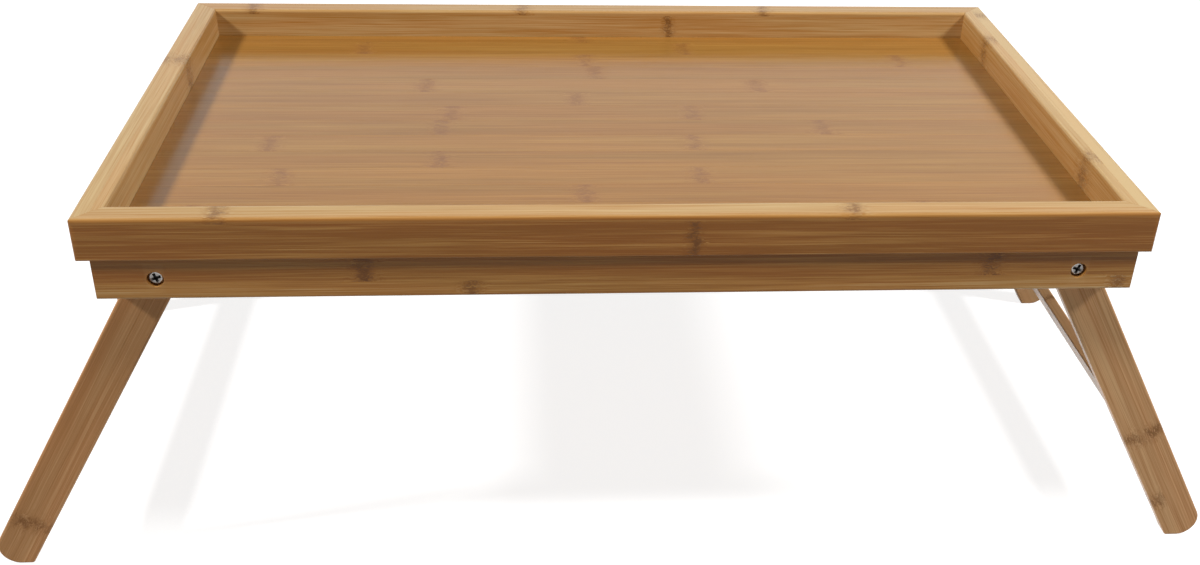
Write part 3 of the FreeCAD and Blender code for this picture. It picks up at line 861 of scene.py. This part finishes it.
def make_lower_rails():
    # Each rail: its turn in degrees, its seed, and its upper and lower strips.
    rails = {
        "front_lower_rail": (0, 0.0, [
            cut_strip(17, (-122, 174), 0.15, streak=1.3, stain=1.5, spread=1.5),
            cut_strip(18, (-73, 238), 0.44, streak=1.5, stain=0.9, spread=1.3),
        ]),
        "back_lower_rail": (180, 6.0, [
            cut_strip(21, (60,), 0.15, streak=1.0),
            cut_strip(22, (-140, 130), 0.30, streak=1.2),
        ]),
    }
    section = rounded_box(0, RAIL_WIDTH, 0, RAIL_HEIGHT, LOWER_RAIL_ROUND, [LOWER_RAIL_LINE])
    for name, (turn, seed, strips) in rails.items():
        rail = sweep(name, section, LOWER_RAIL_LENGTH, seed, RAIL_FINISH)
        cut(rail, lower_rail_bores())
        lay = Matrix.Rotation(math.radians(turn), 4, "Z")
        lay = lay @ Matrix.Translation(
            Vector((0, -LOWER_RAIL_OUTSIDE, LOWER_RAIL_UNDERSIDE)) * MM)
        measure(rail, lower_rail_strip, strips, lay)
        finish_piece(rail, "tray", [name])


# --- Leg frames ----------------------------------------------------------------------------------
CORNERS = {                  # the side and the end of the table that each corner is at
    "front_left": (-1, -1), "back_left": (-1, 1), "front_right": (1, -1), "back_right": (1, 1),
}
SIDES = {-1: "left", 1: "right"}
LEG_RADIUS = 10.5
LEG_THICKNESS = 10.0
LEG_INSIDE = 123.1           # from the tray's middle to the leg's inner face
LEG_EDGE_ROUND = 1.2
LEG_BORE_RADIUS = 1.83
LEG_SPAN = (PIVOT_Z - LEG_RADIUS) / math.cos(SPLAY)    # down to the middle of the foot's round
LEG_SEAM = -2.5              # the glue line between a leg's two strips, from its middle outwards
TOE_ROUND = 1.5
HEEL_STEPS = 24
TOE_STEPS = 6
EDGE_STEPS = 8
CROSSBAR_DISTANCE = 151.0    # down the leg from its pivot
CROSSBAR_HALF_WIDTH = 10.0
CROSSBAR_HALF_THICKNESS = 3.2
CROSSBAR_ROUND = 0.8
TENON_HALF_WIDTH = 6.5
TENON_HALF_THICKNESS = 1.8
TENON_ROUND = 0.3
TENON_LENGTH = 6.0
MORTISE_DEPTH = 6.4
LEG_STRIPS = 50              # the middle of the legs' strip numbers, and of the crossbars'
CROSSBAR_STRIPS = 70
INNER_STRIP_PALER = 0.08


def leg_directions(side):
    """Down a leg, and across it outwards."""
    down = (side * math.sin(SPLAY), 0, -math.cos(SPLAY))
    outwards = (side * math.cos(SPLAY), 0, math.sin(SPLAY))
    return down, outwards


def leg_ring(inset, z):
    """A leg's outline this far inside its edge: round on the outer side, flat on the floor.

    The flat ends in a small round at the toe. The top is the same after a half turn.
    """
    flat, toe = math.pi / 2 + SPLAY, math.radians(150)
    toe_reach = (LEG_RADIUS - TOE_ROUND) / math.cos(math.pi - toe)
    ring = []
    for middle, half_turn in ((LEG_SPAN, 1), (0, -1)):
        for i in range(HEEL_STEPS + 1):
            angle = flat * i / HEEL_STEPS
            reach = LEG_RADIUS - inset
            ring.append((middle + half_turn * reach * math.sin(angle),
                         half_turn * reach * math.cos(angle), z))
        for i in range(TOE_STEPS + 1):
            angle = flat + (math.pi - flat) * i / TOE_STEPS
            reach = TOE_ROUND - inset
            along = toe_reach * math.sin(toe) + reach * math.sin(angle)
            across = toe_reach * math.cos(toe) + reach * math.cos(angle)
            ring.append((middle + half_turn * along, half_turn * across, z))
    return ring


def rounded_leg(name):
    """A leg lying along X from its pivot, split along its glue line."""
    r = LEG_EDGE_ROUND
    edge = [(r + 0.25, 0.0)]
    for i in range(EDGE_STEPS + 1):
        turn = math.radians(90 * i / EDGE_STEPS)
        edge.append((r - r * math.sin(turn), r - r * math.cos(turn)))
    edge.append((0.0, r + 0.4))
    top = [(inset, LEG_THICKNESS - z) for inset, z in reversed(edge)]
    leg = loft(name, [leg_ring(inset, z) for inset, z in edge + top])
    work = bmesh.new()
    work.from_mesh(leg.data)
    bmesh.ops.bisect_plane(
        work, geom=[*work.verts, *work.edges, *work.faces],
        plane_co=(0, LEG_SEAM * MM, 0), plane_no=(0, 1, 0))
    work.to_mesh(leg.data)
    work.free()
    return leg


def leg_strip(point):
    return 0 if point.y > LEG_SEAM else 1


def make_leg(corner, tone, knuckles):
    """knuckles are the places on the outer strip, and those on the inner one."""
    side, end = CORNERS[corner]
    leg = rounded_leg("finished_leg_" + corner)
    low, high = -1, LEG_THICKNESS + 1
    bore = [(0, low), (LEG_BORE_RADIUS, low), (LEG_BORE_RADIUS, high), (0, high)]
    near, far = CROSSBAR_DISTANCE - TENON_HALF_WIDTH, CROSSBAR_DISTANCE + TENON_HALF_WIDTH
    y = TENON_HALF_THICKNESS
    rings = [[(near, -y, z), (far, -y, z), (far, y, z), (near, y, z)] for z in (low, MORTISE_DEPTH)]
    cut(leg, [drum("bore", bore, Matrix()), loft("mortise", rings)])
    leg.data.materials.append(LEG_FINISH)
    number = LEG_STRIPS + 4 * side + 2 * end
    strips = [
        cut_strip(number, knuckles[0], tone, streak=1.7, stain=0.9, spread=1.4),
        cut_strip(number + 1, knuckles[1], tone + INNER_STRIP_PALER, streak=1.7, stain=0.7,
                  spread=1.4),
    ]
    pivot = (side * PIVOT_X, end * LEG_INSIDE, PIVOT_Z)
    measure(leg, leg_strip, strips, axes(*leg_directions(side), (0, end, 0), pivot))
    finish_piece(leg, SIDES[side] + "_legs", ["leg_" + corner])


def make_crossbar(side, knuckles):
    """The slat between two legs, with a stub tenon at each end."""
    name = "crossbar_" + SIDES[side]
    x, y = CROSSBAR_HALF_WIDTH, CROSSBAR_HALF_THICKNESS
    slat = rounded_box(-x, x, -y, y, CROSSBAR_ROUND)
    x, y = TENON_HALF_WIDTH, TENON_HALF_THICKNESS
    tenon = rounded_box(-x, x, -y, y, TENON_ROUND)
    shoulder, tip = LEG_INSIDE, LEG_INSIDE + TENON_LENGTH
    rings = [(tenon, -tip), (tenon, -shoulder), (slat, -shoulder)]
    rings += [(slat, shoulder), (tenon, shoulder), (tenon, tip)]
    bar = loft("finished_" + name, [[(place, y, z) for y, z in ring] for ring, place in rings])
    bar.data.materials.append(LEG_FINISH)
    x = side * (PIVOT_X + CROSSBAR_DISTANCE * math.sin(SPLAY))
    z = PIVOT_Z - CROSSBAR_DISTANCE * math.cos(SPLAY)
    lay = axes((0, 1, 0), *leg_directions(side), (x, 0, z))
    # The crossbar's pale tone is painted light, making up for the light that the tray keeps off it.
    measure(bar, lambda point: 0, [cut_strip(CROSSBAR_STRIPS + side, knuckles, 1.0)], lay)
    finish_piece(bar, SIDES[side] + "_legs", [name])


def make_leg_frames():
    # The back legs' and the crossbars' paler tones are painted light: they make up for the light that
    # the tray keeps off them.
    make_leg("front_left", 0.46, ((176,), (175,)))
    make_leg("back_left", 0.85, ((95,), (30, 190)))
    make_leg("front_right", 0.74, ((127,), (126, 174)))
    make_leg("back_right", 0.95, ((52,), (140,)))
    make_crossbar(-1, (-60, 80))
    make_crossbar(1, (35, -95))


# --- Turned pieces -------------------------------------------------------------------------------
THREAD_STEPS = 8             # rings in one turn of a thread
CROSS_HALF_WIDTH = 0.72
CROSS_MOUTH = (-0.3, 2.8)    # how deep, and how far each arm of the cross reaches there
CROSS_BOTTOM = (2.2, 0.85)


def thread_rings(radius, thread, sides, downwards):
    """The rings of a threaded stretch of shank.

    thread is its lower and upper end, its pitch and its depth.
    """
    low, high, pitch, depth = thread
    steps = int((high - low) / pitch * THREAD_STEPS)
    levels = [low + (high - low) * k / steps for k in range(steps + 1)]
    if downwards:
        levels.reverse()
    rings = []
    for level in levels:
        fade = max(0, min(1, (high - level) / pitch, (level - low) / pitch))
        ring = []
        for k, (x, y, _) in enumerate(ring_of(1, level, sides)):
            phase = (level / pitch - k / sides) % 1
            reach = radius - depth * (1 - abs(2 * phase - 1)) ** 1.5 * fade
            ring.append((reach * x, reach * y, level))
        rings.append(ring)
    return rings


def turned(name, outline, sides=40, thread=None):
    """A round piece from its outline of (radius, height), perhaps with a thread cut in its shank."""
    rings = [ring_of(*outline[0], sides)]
    for (radius, z), (next_radius, next_z) in zip(outline, outline[1:]):
        if thread and radius == next_radius:
            if min(z, next_z) <= thread[0] and max(z, next_z) >= thread[1]:
                rings += thread_rings(radius, thread, sides, next_z < z)
        rings.append(ring_of(next_radius, next_z, sides))
    return loft(name, rings, closed=outline[0][0] > 0)


def cross_cutter(z, facing):
    """The cross of a screw head, cut from height z and narrowing as it goes in."""
    w = CROSS_HALF_WIDTH
    rings = []
    for depth, reach in (CROSS_MOUTH, CROSS_BOTTOM):
        ring = []
        for quarter in range(4):
            turn = Matrix.Rotation(quarter * math.pi / 2, 3, "Z")
            for x, y in ((w, w), (w, reach), (-w, reach)):
                ring.append(turn @ Vector((x, y, z - facing * depth)))
        rings.append(ring)
    return loft("cross", rings)


def fastener_maker():
    """Sets a copy of a fastener at each point of the base mesh, turned by its facing."""
    made, tree, given = new_maker("set_fasteners", [("Fastener", "Object"), ("Finish", "Material")])
    facing = tree.node("GeometryNodeInputNamedAttribute", data_type="FLOAT_VECTOR")
    facing.inputs["Name"].default_value = "facing"
    turn = tree.put("FunctionNodeEulerToRotation", {0: facing.outputs[0]}).outputs[0]
    pattern = tree.put("GeometryNodeObjectInfo", {"Object": given["Fastener"]})
    copies = tree.put("GeometryNodeInstanceOnPoints", {
        "Points": given["Geometry"], "Instance": pattern.outputs["Geometry"], "Rotation": turn,
    })
    finish_tree(tree, copies.outputs[0], given["Finish"])
    return made


def set_fasteners(name, pattern, places, finish, stands_for, crease=METAL_CREASE):
    """Copies of one fastener, each laid by a matrix, as one piece of the tray."""
    mesh = bpy.data.meshes.new(name)
    mesh.from_pydata([place.translation for place in places], [], [])
    facing = mesh.attributes.new("facing", "FLOAT_VECTOR", "POINT")
    for i, place in enumerate(places):
        facing.data[i].vector = place.to_euler()
    piece = new_object(name, mesh)
    run_tree(piece, FASTENERS, {"Fastener": pattern, "Finish": finish})
    bpy.data.objects.remove(pattern)
    finish_piece(piece, "tray", stands_for, crease)


# --- Pivots --------------------------------------------------------------------------------------
# Where the face that a piece bears on the next one with lies, from the tray's middle. A screw,
# washer or nut is made with that face at height 0, and its height points outwards.
SCREW_SEAT = LOWER_RAIL_OUTSIDE - COUNTERBORE_DEPTH
OUTER_WASHER_SEAT = 134.0
INNER_WASHER_SEAT = 123.0
NUT_SEAT = 122.2

HEAD_HEIGHT = 1.9
HEAD_RADIUS = 3.2
SHANK_RADIUS = 1.75
SCREW_LENGTH = 27.5
SCREW_THREAD = (-26.9, -16, 0.7, 0.22)
HEAD_ROLL = 0.75             # the round at the rim of the head
RIM_HIGHLIGHT_RADII = (2.4, 2.9)          # the radii where the painted highlight on a head's rim begins and is full
CROSS_SHADE_HEIGHTS = (1.8, 1.0)           # the heights where the painted shade in the cross begins and is full

WASHER_HOLE = 2.0
WASHER_RADIUS = 4.5
WASHER_THICKNESS = 0.8

NUT_HALF_FLAT = 3.0
NUT_HEIGHT = 2.8
COLLAR_END = 4.2             # how far the collar that holds the nylon ring reaches
COLLAR_RADIUS = 2.7
NUT_SIDES = 72
RING_RADIUS = 2.35           # where the nylon ring meets its collar
ROUND_SIDES = 56


def at_pivots(distance, turns=(0, 0, 0, 0)):
    """The four pivots, this far from the tray's middle and facing out, each with its own turn."""
    places = []
    for (side, end), turn in zip(CORNERS.values(), turns):
        place = Matrix.Translation(Vector((side * PIVOT_X, end * distance, PIVOT_Z)) * MM)
        place = place @ Matrix.Rotation(math.radians(-90 * end), 4, "X")
        places.append(place @ Matrix.Rotation(math.radians(turn), 4, "Z"))
    return places


def paint_head_light(screw):
    """Marks the painted highlight on a screw head's rim from 0 to 1, and the painted shade in its
    cross from 0 to -1.
    """
    painted_light = screw.data.attributes.new("painted_light", "FLOAT", "POINT")
    for i, vertex in enumerate(screw.data.vertices):
        from_axis, height = vertex.co.xy.length / MM, vertex.co.z / MM
        cross_shade = share(height, *CROSS_SHADE_HEIGHTS) if height > -0.5 else 0.0
        painted_light.data[i].value = share(from_axis, *RIM_HIGHLIGHT_RADII) if from_axis > RIM_HIGHLIGHT_RADII[0] else -cross_shade


def make_pivot_screws():
    head = [(0, HEAD_HEIGHT), (2.3, 1.88)] + arc(HEAD_RADIUS - HEAD_ROLL, 1.1, HEAD_ROLL, 80, 0)
    head += [(HEAD_RADIUS, 0.1), (HEAD_RADIUS - 0.1, 0)]
    shank = [(SHANK_RADIUS, 0), (SHANK_RADIUS, 0.4 - SCREW_LENGTH)]
    shank += [(SHANK_RADIUS - 0.4, -SCREW_LENGTH), (0, -SCREW_LENGTH)]
    screw = turned("pivot_screw", head + shank, 48, SCREW_THREAD)
    cut(screw, [cross_cutter(HEAD_HEIGHT, 1)])
    paint_head_light(screw)
    places = at_pivots(SCREW_SEAT, (20, 35, 70, 85))
    set_fasteners("finished_pivot_screws", screw, places, STEEL,
                  ["pivot_screw_" + corner for corner in CORNERS])


def make_washers():
    hole, rim, thick = WASHER_HOLE, WASHER_RADIUS, WASHER_THICKNESS
    section = [(hole - 0.1, -0.1), (hole, 0), (rim - 0.15, 0), (rim, -0.15)]
    section += [(rim, 0.15 - thick), (rim - 0.15, -thick), (hole, -thick)]
    section += [(hole - 0.1, 0.1 - thick)]
    washer = turned("washer", section, ROUND_SIDES)
    places = at_pivots(OUTER_WASHER_SEAT) + at_pivots(INNER_WASHER_SEAT)
    set_fasteners("finished_washers", washer, places, STEEL, ["pivot_washers"])


def hexagon_ring(facing):
    """The edge where the nut's bevel meets its flats, on the face at its seat (1) or away (-1)."""
    ring = []
    for i in range(NUT_SIDES):
        turn = 2 * math.pi * i / NUT_SIDES
        off = (turn + math.pi / 6) % (math.pi / 3) - math.pi / 6
        reach = NUT_HALF_FLAT / math.cos(math.pi / 6 - abs(off))
        drop = (reach - NUT_HALF_FLAT) * math.tan(math.radians(30))
        z = -drop if facing > 0 else drop - NUT_HEIGHT
        ring.append((reach * math.cos(turn), reach * math.sin(turn), z))
    return ring


def make_lock_nuts():
    """Hexagon nuts, each with a round collar over its nylon ring."""
    seat = [(1.95, 0), (NUT_HALF_FLAT, 0)]
    collar = [
        (NUT_HALF_FLAT, -NUT_HEIGHT), (COLLAR_RADIUS, -NUT_HEIGHT),
        (COLLAR_RADIUS, 0.3 - COLLAR_END), (COLLAR_RADIUS - 0.2, -COLLAR_END),
        (RING_RADIUS, -COLLAR_END), (RING_RADIUS, -NUT_HEIGHT),
    ]
    bore = [(SHANK_RADIUS, -NUT_HEIGHT), (SHANK_RADIUS, -0.2)]
    rings = [ring_of(r, z, NUT_SIDES) for r, z in seat]
    rings += [hexagon_ring(1), hexagon_ring(-1)]
    rings += [ring_of(r, z, NUT_SIDES) for r, z in collar + bore]
    nut = loft("lock_nut", rings, closed=True)
    set_fasteners("finished_lock_nuts", nut, at_pivots(NUT_SEAT, (5, 25, 40, 50)), NUT_STEEL,
                  ["lock_nut_" + corner for corner in CORNERS], NUT_CREASE)


def make_nylon_rings():
    section = [
        (SHANK_RADIUS, -NUT_HEIGHT), (RING_RADIUS, -NUT_HEIGHT),
        (RING_RADIUS, 0.1 - COLLAR_END), (RING_RADIUS - 0.1, -COLLAR_END),
        (SHANK_RADIUS + 0.1, -COLLAR_END), (SHANK_RADIUS, 0.1 - COLLAR_END),
    ]
    ring = turned("nylon_ring", section, ROUND_SIDES)
    set_fasteners("finished_nylon_rings", ring, at_pivots(NUT_SEAT), NYLON,
                  ["nut_nylon_rings"])


# --- Wood screws and pins ------------------------------------------------------------------------
RAIL_SCREW_LENGTH = 33.0
RAIL_SCREW_HEAD_RADIUS = 3.4
RAIL_SCREW_THREAD = (6, 28.5, 1.6, 0.4)
RAIL_SCREW_TURNS = (10, 40, 65)
PIN_X = 238.2
PIN_PLACES = (-90, 0, 90)
PIN_LENGTH = 12.0
PIN_RADIUS = 0.6
PIN_HEAD_RADIUS = 1.1
PIN_HEAD_HEIGHT = 0.5


def make_rail_screws():
    """The countersunk wood screws up through the lower rails."""
    r, head, edge = SHANK_RADIUS, RAIL_SCREW_HEAD_RADIUS, RAIL_SCREW_HEAD_EDGE
    outline = [(0, 0), (head - 0.1, 0), (head, 0.1), (head, edge), (r, edge + head - r)]
    outline += [(r, RAIL_SCREW_LENGTH - 4), (0, RAIL_SCREW_LENGTH)]
    screw = turned("rail_screw", outline, 40, RAIL_SCREW_THREAD)
    cut(screw, [cross_cutter(0, -1)])
    places = []
    for end in (-1, 1):
        for x, turn in zip(RAIL_SCREW_PLACES, RAIL_SCREW_TURNS):
            place = Matrix.Translation(Vector((x, end * RAIL_SCREW_Y, LOWER_RAIL_UNDERSIDE)) * MM)
            places.append(place @ Matrix.Rotation(math.radians(turn), 4, "Z"))
    set_fasteners("finished_rail_screws", screw, places, YELLOW_ZINC,
                  ["lower_rail_screws"])


def make_panel_pins():
    """The headed pins up through the panel's margin into the end rails."""
    outline = [
        (0, 0), (PIN_HEAD_RADIUS - 0.2, 0), (PIN_HEAD_RADIUS, 0.15),
        (PIN_HEAD_RADIUS, PIN_HEAD_HEIGHT), (PIN_RADIUS, PIN_HEAD_HEIGHT),
        (PIN_RADIUS, PIN_LENGTH - 1.2), (0, PIN_LENGTH),
    ]
    pin = turned("pin", outline, 24)
    places = [Matrix.Translation(Vector((side * PIN_X, y, FRAME_UNDERSIDE)) * MM)
              for side in (-1, 1) for y in PIN_PLACES]
    set_fasteners("finished_panel_pins", pin, places, NUT_STEEL, ["panel_pins"])


def paint_splines():
    """The loose splines in the mitres stay as the frame made them, in raw birch."""
    for corner in CORNERS:
        spline = nodes["corner_spline_" + corner]
        spline.data.materials.clear()
        spline.data.materials.append(BIRCH)


# --- Scene ---------------------------------------------------------------------------------------
FIGURE = bamboo_figure()
KNUCKLE_BROWN = (0.20, 0.072, 0.014)
RAIL_FINISH = bamboo(
    "bamboo_rail", deep=(0.26, 0.090, 0.010), middle=(0.42, 0.198, 0.046),
    pale=(0.60, 0.408, 0.188), mark=KNUCKLE_BROWN, contrast=0.5, rough=0.22, ior=1.27)
PANEL_FINISH = bamboo(
    "bamboo_panel", deep=(0.262, 0.112, 0.019), middle=(0.338, 0.156, 0.031),
    pale=(0.420, 0.208, 0.047), mark=(0.27, 0.102, 0.030), contrast=0.6, rough=0.18, ior=1.40)
LEG_FINISH = bamboo(
    "bamboo_leg", deep=(0.34, 0.150, 0.045), middle=(0.45, 0.220, 0.085),
    pale=(0.62, 0.360, 0.170), mark=KNUCKLE_BROWN, contrast=0.4, rough=0.28, ior=1.2)
STEEL = metal("plated_steel", (0.24, 0.23, 0.22), rough=0.30)
NUT_STEEL = metal("steel_nut", (0.55, 0.55, 0.54), rough=0.35)
YELLOW_ZINC = metal("yellow_zinc", (0.62, 0.52, 0.27), rough=0.28)
NYLON = clouded("nylon", (0.72, 0.75, 0.78), rough=0.45, size=0.002)
BIRCH = clouded("birch_spline", (0.58, 0.42, 0.24), rough=0.6, size=0.0015)
SWEEP = sweep_maker()
FASTENERS = fastener_maker()

set_camera()
light_studio()
lay_floor()
make_frame_rails()
make_panel()
make_lower_rails()
make_leg_frames()
make_pivot_screws()
make_washers()
make_lock_nuts()
make_nylon_rings()
make_rail_screws()
make_panel_pins()
paint_splines()
